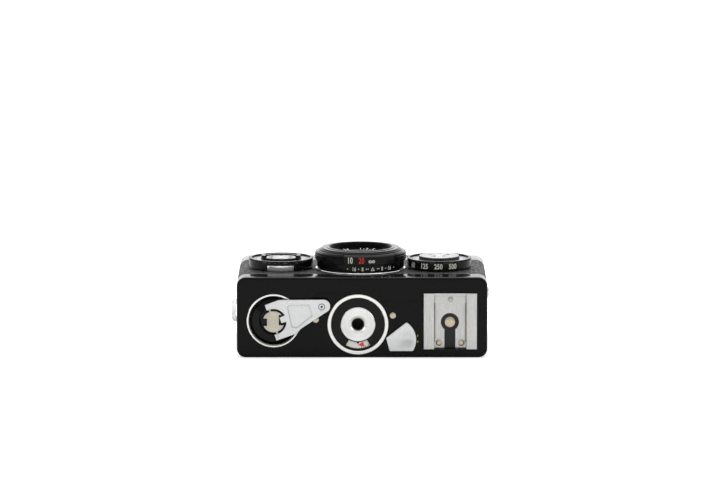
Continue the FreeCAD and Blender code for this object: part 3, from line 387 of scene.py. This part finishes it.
# ------------------------------------------------------------------ flat shapes: (points, faces)
def glyphs(text, height, width=0.74):
    """A bold text outline, centred, with capitals `height` tall, narrowed by `width`."""
    curve = bpy.data.curves.new("text", "FONT")
    curve.body = text
    curve.size = height / 0.7
    curve.align_x = "CENTER"
    curve.resolution_u = 4
    curve.offset = 0.045 * height
    curve.space_character = 1.08
    holder = bpy.data.objects.new("text", curve)
    bpy.context.scene.collection.objects.link(holder)
    depsgraph = bpy.context.evaluated_depsgraph_get()
    mesh = bpy.data.meshes.new_from_object(holder.evaluated_get(depsgraph))
    points = [(v.co.x * width, v.co.y - height / 2) for v in mesh.vertices]
    faces = [tuple(p.vertices) for p in mesh.polygons]
    bpy.data.objects.remove(holder)
    bpy.data.curves.remove(curve)
    bpy.data.meshes.remove(mesh)
    return points, faces


def polygon(points):
    return points, [tuple(range(len(points)))]


def tick(width, height):
    x, y = width / 2, height / 2
    return polygon([(-x, -y), (x, -y), (x, y), (-x, y)])


def circle(radius, count):
    angles = [2 * math.pi * k / count for k in range(count)]
    return [(radius * math.cos(a), radius * math.sin(a)) for a in angles]


def dot(radius):
    return polygon(circle(radius, 14))


def annulus(inner, outer, count):
    faces = [(k, (k + 1) % count, count + (k + 1) % count, count + k) for k in range(count)]
    return circle(inner, count) + circle(outer, count), faces


def triangle_outline(width, height):
    line = 0.16 * width
    x, y = width / 2, height / 2
    outer = [(-x, -y), (x, -y), (0, y)]
    inner = [(-x + 1.7 * line, -y + line), (x - 1.7 * line, -y + line), (0, y - 2.1 * line)]
    return outer + inner, [(0, 1, 4, 3), (1, 2, 5, 4), (2, 0, 3, 5)]


def infinity(height):
    """A band of even width along a lemniscate."""
    count = 40
    reach = 2.3 * height * 0.42
    half_width = 0.17 * height
    path = []
    for k in range(count):
        angle = 2 * math.pi * k / count
        scale = 1 + math.sin(angle) ** 2
        path.append((reach * math.cos(angle) / scale,
                     reach * math.sin(angle) * math.cos(angle) / scale))
    points, faces = [], []
    for k, (x, y) in enumerate(path):
        after, before = path[(k + 1) % count], path[k - 1]
        step_x, step_y = after[0] - before[0], after[1] - before[1]
        length = math.hypot(step_x, step_y) or 1
        side_x, side_y = step_y / length * half_width, step_x / length * half_width
        points += [(x - side_x, y + side_y), (x + side_x, y - side_y)]
        a, b = 2 * k, 2 * ((k + 1) % count)
        faces.append((a, a + 1, b + 1, b))
    return points, faces


# ------------------------------------------------------------------ placing the shapes
# Each placer maps a mark's two coordinates and a shape point (u, v) to a point and a normal.
def rim(axis, radius):
    """Outside of a ring about Y, at (degrees from -Z towards +X, y); tops towards -Y."""
    def place(degrees, y, u, v):
        angle = math.radians(degrees) + u / radius
        normal = Vector((math.sin(angle), 0, -math.cos(angle)))
        return Vector((axis.first, y - v, axis.second)) + normal * radius, normal
    return place


def face_y(axis, y, slope=0.0, start=0.0):
    """A face towards -Y, at (degrees from +Z, radius), y changing by slope beyond start."""
    def place(degrees, radius, u, v):
        r = radius + v
        angle = math.radians(degrees) + u / radius
        point = Vector((axis.first + r * math.sin(angle), y + slope * (r - start),
                        axis.second + r * math.cos(angle)))
        return point, Vector((0, -1, 0))
    return place


def face_z(axis, z):
    """A face towards -Z, at (degrees from -Y towards +X, radius)."""
    def place(degrees, radius, u, v):
        r = radius + v
        angle = math.radians(degrees) + u / radius
        point = Vector((axis.first + r * math.sin(angle), axis.second - r * math.cos(angle), z))
        return point, Vector((0, 0, -1))
    return place


def flat_z(z):
    """A face towards -Z, at (x, y)."""
    def place(x, y, u, v):
        return Vector((x + u, y - v, z)), Vector((0, 0, -1))
    return place


def add_object(name, mesh):
    thing = bpy.data.objects.new(name, mesh)
    bpy.context.scene.collection.objects.link(thing)
    return thing


def inlay(name, material, body, place, marks):
    """Joins marks (shape, first, second coordinate) into one thin solid riding on a body."""
    lift, thickness = 0.025, 0.03
    points, faces = [], []
    for (outline, outline_faces), first, second in marks:
        start = len(points)
        for u, v in outline:
            point, normal = place(first, second, u, v)
            points.append(tuple((point + normal * lift) * MM))
        faces += [tuple(start + i for i in face) for face in outline_faces]
    mesh = bpy.data.meshes.new(name)
    mesh.from_pydata(points, [], faces)
    mesh.validate()
    # Triangles keep curved placement on the surface.
    work = bmesh.new()
    work.from_mesh(mesh)
    bmesh.ops.triangulate(work, faces=work.faces)
    work.to_mesh(mesh)
    work.free()
    thing = add_object(name, mesh)
    solid = thing.modifiers.new("solid", "SOLIDIFY")
    solid.thickness = thickness * MM
    solid.offset = -1.0
    mesh.materials.append(material)
    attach(thing, body)


def labels(entries, second, height, width=0.74):
    """Marks for (text, first coordinate) entries that share the second coordinate."""
    return [(glyphs(text, height, width), first, second) for text, first in entries]


# ------------------------------------------------------------------ lens marks
FOCUS_Y = -23.95
focus_rim = rim(LENS, radius=17.65)
big_text = dict(second=FOCUS_Y, height=2.25, width=0.66)
inlay("distance_numbers", ink_cream, "focusing_ring", focus_rim,
      labels([("10", -13.4)], **big_text) + [(infinity(1.15), 14.3, FOCUS_Y + 0.5)])
inlay("distance_numbers_red", ink_red, "focusing_ring", focus_rim,
      labels([("20", 1.2)], **big_text))
UPPER_DISTANCES = [("3", 152), ("4", 165), ("6", 180), ("2", 200), ("1", 214)]
inlay("distance_numbers_upper", ink_cream, "focusing_ring", focus_rim,
      labels(UPPER_DISTANCES, FOCUS_Y, height=1.9))

DEPTH_Y = -20.5
DEPTH_NUMBERS = [("16", -8.5), ("8", 2.6), ("8", 29.4), ("16", 40.9)]
DEPTH_DOTS = (-17.0, -2.4, 7.6, 9.9, 22.6, 24.8, 34.9, 49.3)      # degrees
depth_marks = labels(DEPTH_NUMBERS, DEPTH_Y, height=1.45)
depth_marks += [(dot(0.24), degrees, DEPTH_Y) for degrees in DEPTH_DOTS]
depth_marks += [(triangle_outline(1.7, 1.6), 16.2, DEPTH_Y)]
inlay("depth_scale_marks", ink_cream, "lens_barrel", rim(LENS, radius=17.05), depth_marks)

# ------------------------------------------------------------------ dial marks
DIAL_FRONT = -22.5
DIAL_RADIUS = 12.51
DIAL_NUMBERS = dict(second=-20.5, height=1.95)
SHUTTER_SPEEDS = [
    ("60", -55.1), ("125", -28.8), ("250", -2.3), ("500", 24.0), ("30", -81.4),
    ("15", -107.7), ("8", -134.0), ("4", -160.3), ("B", 173.4)]
STOPS = ("3.5", "4", "5.6", "8", "11", "16", "22")
inlay("shutter_numbers", ink_cream, "shutter_wheel", rim(SHUTTER, DIAL_RADIUS),
      labels(SHUTTER_SPEEDS, **DIAL_NUMBERS))
inlay("aperture_numbers", ink_cream, "aperture_wheel", rim(APERTURE, DIAL_RADIUS),
      labels([(stop, 100 + 25 * k) for k, stop in enumerate(STOPS)], **DIAL_NUMBERS))
for dial, axis in (("aperture", APERTURE), ("shutter", SHUTTER)):
    inlay(dial + "_ticks", ink_black, dial + "_wheel", face_y(axis, DIAL_FRONT + 0.6),
          [(tick(0.22, 1.1 if k % 2 else 1.8), k * 15, 10.2) for k in range(24)])
FILM_SPEEDS = ("25", "50", "100", "200", "400", "800")
inlay("film_speed_numbers", ink_black, "film_speed_setter",
      face_y(APERTURE, DIAL_FRONT + 0.05),
      labels([(speed, k * 60) for k, speed in enumerate(FILM_SPEEDS)], 4.3, height=1.2))
REMINDERS = ("12", "20", "24", "36", "0")
inlay("film_reminder_marks", ink_black, "film_reminder", face_y(SHUTTER, DIAL_FRONT - 0.8),
      labels([(text, k * 72) for k, text in enumerate(REMINDERS)], 3.6, height=1.5))

# Lettering round the conical face of the front cell, evenly spaced with gaps for blanks
RING_TEXT = "1:3.5   f = 40   24   1:3.5   f = 40   24   "
inlay("name_ring_numbers", ink_cream, "front_group",
      face_y(LENS, -24.35, slope=-0.65 / 4.3, start=7.3),
      labels([(letter, k * 360 / len(RING_TEXT)) for k, letter in enumerate(RING_TEXT)
              if letter != " "], 9.4, height=1.5))

# ------------------------------------------------------------------ bottom marks
FRAME_STEP = 9                      # degrees per frame on the counter
COUNTER_TEXT_RADIUS = 8.2
counter_face = face_z(CENTRE, z=0.95)
inlay("counter_marks", ink_black, "frame_counter", counter_face,
      [(tick(0.2, 0.9), 180 - k * FRAME_STEP, 9.0) for k in range(1, 37) if k % 4]
      + labels([(str(k), 180 + FRAME_STEP * k) for k in range(6, 37, 6)],
               COUNTER_TEXT_RADIUS, height=1.1))
arrowhead = polygon([(1.25, 0), (-1.1, 1.05), (-1.1, -1.05)])
inlay("counter_start", ink_red_counter, "frame_counter", counter_face,
      [(arrowhead, 171.5, COUNTER_TEXT_RADIUS)])
LOCK_MARK_X = 23.1
inlay("lock_marks", ink_yellow, "sliding_back", flat_z(0.3),
      [(tick(0.35, 0.9), LOCK_MARK_X, 4.4), (dot(0.35), LOCK_MARK_X, 6.7)])


# ------------------------------------------------------------------ threads and crank eyelet
def turned_piece(name, profile, axis, material, body, segments):
    """Spins a closed profile of (radius, place along the axis) about the axis."""
    points, faces, count = [], [], len(profile)
    for k in range(segments):
        angle = 2 * math.pi * k / segments
        for radius, along in profile:
            x = (axis.first + radius * math.cos(angle)) * MM
            second = (axis.second + radius * math.sin(angle)) * MM
            along *= MM
            points.append((x, along, second) if axis.along == "Y" else (x, second, along))
    for k in range(segments):
        here, there = k * count, ((k + 1) % segments) * count
        for j in range(count):
            following = (j + 1) % count
            faces.append((here + j, here + following, there + following, there + j))
    mesh = bpy.data.meshes.new(name)
    mesh.from_pydata(points, [], faces)
    work = bmesh.new()
    work.from_mesh(mesh)
    bmesh.ops.recalc_face_normals(work, faces=work.faces)
    work.to_mesh(mesh)
    work.free()
    mesh.materials.append(material)
    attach(add_object(name, mesh), body)


def thread(outer, inner, start, end, pitch):
    """A profile with one ridge per pitch, pointing at the axis."""
    profile, along = [(outer, start)], start
    while along < end - 1e-6:
        profile += [(inner + 0.02, along + 0.12 * pitch), (inner, along + 0.3 * pitch),
                    (outer - 0.02, along + 0.65 * pitch)]
        along += pitch
    return profile + [(outer, along)]


turned_piece("tripod_thread", thread(outer=2.53, inner=2.3, start=0.7, end=6.4, pitch=1.27 / 2),
             CENTRE, steel, "camera_body", segments=48)
turned_piece("filter_thread_turns",
             thread(outer=12.28, inner=12.08, start=-26.7, end=-25.4, pitch=0.35),
             LENS, black_lens, "front_group", segments=128)

CRANK_ANGLE = math.radians(-17.4)
CRANK_REACH = 19.5
eyelet_x = CRANK.first + CRANK_REACH * math.cos(CRANK_ANGLE)
eyelet_y = CRANK.second + CRANK_REACH * math.sin(CRANK_ANGLE)
# Painted shade: a thin black ring on the arm around the knob's eyelet, standing in for the shade
# of the gap there.
inlay("crank_eyelet_painted_shade_ring", ink_black, "crank_arm", flat_z(-2.3),
      [(annulus(inner=1.12, outer=1.3, count=28), eyelet_x, eyelet_y)])


# ------------------------------------------------------------------ table and ground, in metres
def plane(name, corners):
    mesh = bpy.data.meshes.new(name)
    mesh.from_pydata(corners, [], [(0, 1, 2, 3)])
    thing = add_object(name, mesh)
    return thing


def pale_material(name, clear_where):
    """Pale matt, brighter to the camera, and clear where clear_where(graph) gives 1."""
    material = bpy.data.materials.new(name)
    graph = Graph(material, "ShaderNodeOutputMaterial")
    noise = graph.node("ShaderNodeTexNoise", {"Scale": 4.0}).outputs["Fac"]
    tone = graph.ramp(noise, 0.0, 1.0, 0.87, 0.9)
    diffuse = graph.node("ShaderNodeBsdfDiffuse", {"Color": tone}).outputs[0]
    camera_ray = graph.node("ShaderNodeLightPath").outputs["Is Camera Ray"]
    strength = graph.math("MULTIPLY", camera_ray, 0.42)
    lift = graph.node("ShaderNodeEmission", {"Strength": strength}).outputs[0]
    pale = graph.node("ShaderNodeAddShader", {0: diffuse, 1: lift}).outputs[0]
    clear = graph.node("ShaderNodeBsdfTransparent").outputs[0]
    mixed = graph.node("ShaderNodeMixShader", {0: clear_where(graph), 1: pale, 2: clear})
    graph.feed(graph.output.inputs["Surface"], mixed.outputs[0])
    return material


def table_clear(graph):
    """Clear to the camera except from the bottom side, and to other rays that are short
    or come from behind, so that light reaches the camera's back."""
    def clamped(operation, first, second):
        return graph.math(operation, first, second, clamp=True)

    geometry = graph.node("ShaderNodeNewGeometry").outputs
    path = graph.node("ShaderNodeLightPath").outputs
    incoming = graph.node("ShaderNodeSeparateXYZ", {0: geometry["Incoming"]}).outputs
    # Incoming points back at the viewer.
    bottom_side = clamped("LESS_THAN", incoming[2], -0.85)
    camera = clamped("MULTIPLY", path["Is Camera Ray"], clamped("SUBTRACT", 1.0, bottom_side))
    short = clamped("LESS_THAN", path["Ray Length"], 0.0008)
    other = clamped("MULTIPLY", clamped("SUBTRACT", 1.0, path["Is Camera Ray"]),
                    clamped("MAXIMUM", short, geometry["Backfacing"]))
    return clamped("MAXIMUM", camera, other)


def ground_clear(graph):
    return graph.node("ShaderNodeNewGeometry").outputs["Backfacing"]


TABLE_Y = 0.01302
GROUND_Z = -0.00245
table = plane("table", [(x, TABLE_Y, z) for x, z in ((-4, -3), (4, -3), (4, 9), (-4, 9))])
table.visible_diffuse = False
table.visible_shadow = False
table.visible_transmission = False
table.data.materials.append(pale_material("pale_table", table_clear))

ground = plane("ground", [(x, y, GROUND_Z) for x, y in ((-5, -5), (5, -5), (5, 5), (-5, 5))])
ground.visible_diffuse = False
ground.visible_glossy = False
ground.visible_transmission = False
ground.visible_shadow = False
ground.data.materials.append(pale_material("pale_ground", ground_clear))


# ------------------------------------------------------------------ world and lights
def build_world():
    """White to the camera; for lighting, brighter towards -Y (overhead) and +Z (far side)."""
    ambient, overhead_gain, overhead_power, far_gain = 0.36, 0.66, 0.9, 1.25
    world = bpy.data.worlds.new("studio")
    bpy.context.scene.world = world
    graph = Graph(world, "ShaderNodeOutputWorld")
    direction = graph.node("ShaderNodeTexCoord").outputs["Generated"]
    xyz = graph.node("ShaderNodeSeparateXYZ", {0: direction}).outputs
    overhead = graph.math("MULTIPLY", xyz[1], -1.0, clamp=True)
    far = graph.math("MAXIMUM", xyz[2], 0.0)
    overhead = graph.math("MULTIPLY", graph.math("POWER", overhead, overhead_power),
                          overhead_gain)
    gradient = graph.math("ADD", overhead, graph.math("MULTIPLY", far, far_gain))
    strengths = (graph.math("ADD", ambient, gradient), 1.0)
    lighting, backdrop = (
        graph.node("ShaderNodeBackground", {"Color": (1, 1, 1, 1), "Strength": s}).outputs[0]
        for s in strengths)
    camera_ray = graph.node("ShaderNodeLightPath").outputs["Is Camera Ray"]
    mixed = graph.node("ShaderNodeMixShader", {0: camera_ray, 1: lighting, 2: backdrop})
    graph.feed(graph.output.inputs["Surface"], mixed.outputs[0])


def area_light(name, location, width, height, power):
    """A rectangular light aimed at the product; metres and watts."""
    light = bpy.data.lights.new(name, "AREA")
    light.energy = power
    light.shape = "RECTANGLE"
    light.size = width
    light.size_y = height
    thing = add_object(name, light)
    thing.location = location
    thing.rotation_mode = "QUATERNION"
    aim = Vector((0, 0, 0.02)) - Vector(location)
    thing.rotation_quaternion = aim.to_track_quat("-Z", "Y")
    thing.visible_camera = False


build_world()
area_light("overhead", (0.1, -1.1, 0.15), width=1.0, height=0.7, power=3.2)
area_light("left_box", (-0.9, -0.45, -0.35), width=0.5, height=0.5, power=1.0)
area_light("right_box", (0.9, -0.45, -0.35), width=0.5, height=0.5, power=1.0)

# ------------------------------------------------------------------ view
# A long lens on the bottom side, a little above the table; -Y is up in the picture.
VIEW_ELEVATION = math.radians(8.3)
VIEW_DISTANCE = 1.791               # metres
view_target = Vector((0.8, -33.06, 0.0)) * MM
camera = bpy.data.cameras.new("cam")
camera.sensor_width = 36.0
camera.lens = 232.2
camera.clip_start = 0.05
camera.clip_end = 50
viewer = add_object("cam", camera)
forward = Vector((0, math.sin(VIEW_ELEVATION), math.cos(VIEW_ELEVATION)))
upward = Vector((0, -math.cos(VIEW_ELEVATION), math.sin(VIEW_ELEVATION)))
turn = Matrix((Vector((1, 0, 0)), upward, -forward)).transposed().to_4x4()
viewer.matrix_world = Matrix.Translation(view_target - forward * VIEW_DISTANCE) @ turn
bpy.context.scene.camera = viewer
bpy.context.scene.view_settings.view_transform = "Standard"
bpy.context.scene.view_settings.look = "None"

bpy.context.view_layer.update()
